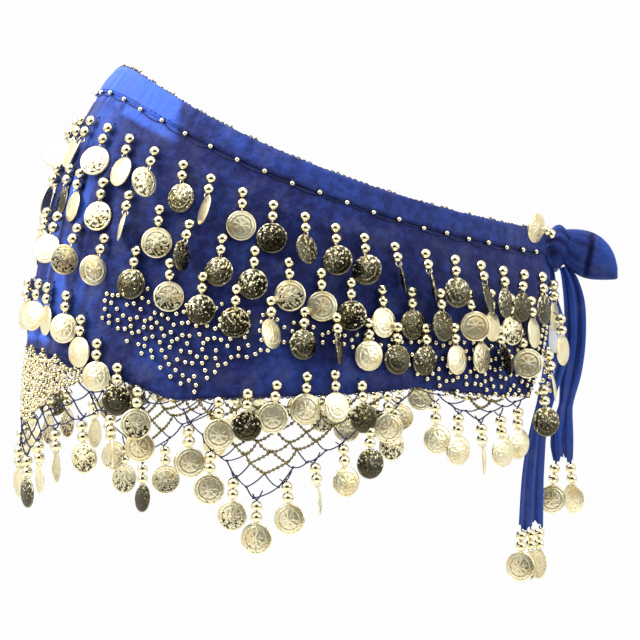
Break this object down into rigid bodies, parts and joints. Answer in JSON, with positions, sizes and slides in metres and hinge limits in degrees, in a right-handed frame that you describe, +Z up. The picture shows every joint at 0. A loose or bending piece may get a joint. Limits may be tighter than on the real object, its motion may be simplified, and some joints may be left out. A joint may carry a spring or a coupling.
{
  "type": "belly dance hip scarf",
  "caption": "Worn-form belly dance hip scarf: a royal blue chiffon wrap tied at one hip, with rows of gold coin drops and beaded nets along the hem.",
  "frame": {"origin": "centre of the hip loop at the mean level of the scarf's top edge, where the hips hold it", "axes": "+Z up, front of the scarf faces -Y, the beaded centre lies over the hip at -X, the knot over the hip at +X"},
  "size_m": [0.3402, 0.2618, 0.2956],
  "materials": {
    "blue_chiffon": "sheer matt chiffon",
    "doubled_chiffon": "doubled chiffon hem, slightly lighter",
    "champagne_gold": "pale gold plate, stamped and slightly tarnished",
    "beaded_thread": "thread strung with small gold beads",
    "white_satin": "blank satin label"
  },
  "bodies": {
    "root": {"beaded_panel": "blue_chiffon", "top_hem_band": "doubled_chiffon", "centre_net": "beaded_thread", "front_net": "beaded_thread", "back_net": "beaded_thread", "front_end_net": "beaded_thread", "back_end_net": "beaded_thread", "centre_net_fringe": "champagne_gold", "front_net_fringe": "champagne_gold", "back_net_fringe": "champagne_gold", "front_end_net_fringe": "champagne_gold", "back_end_net_fringe": "champagne_gold", "coin_row_upper": "champagne_gold", "coin_row_middle": "champagne_gold", "coin_row_lower": "champagne_gold", "coin_row_centre_peak": "champagne_gold", "coin_row_front_peak": "champagne_gold", "coin_row_back_peak": "champagne_gold", "near_end_drops": "champagne_gold", "far_end_drops": "champagne_gold", "tie_strap": "blue_chiffon", "tie_knot": "blue_chiffon", "tie_loop": "blue_chiffon", "knot_drop": "champagne_gold", "long_tail": "blue_chiffon", "short_tail": "blue_chiffon", "long_tail_drops": "champagne_gold", "short_tail_drops": "champagne_gold", "blank_label": "white_satin"}
  },
  "joints": []
}
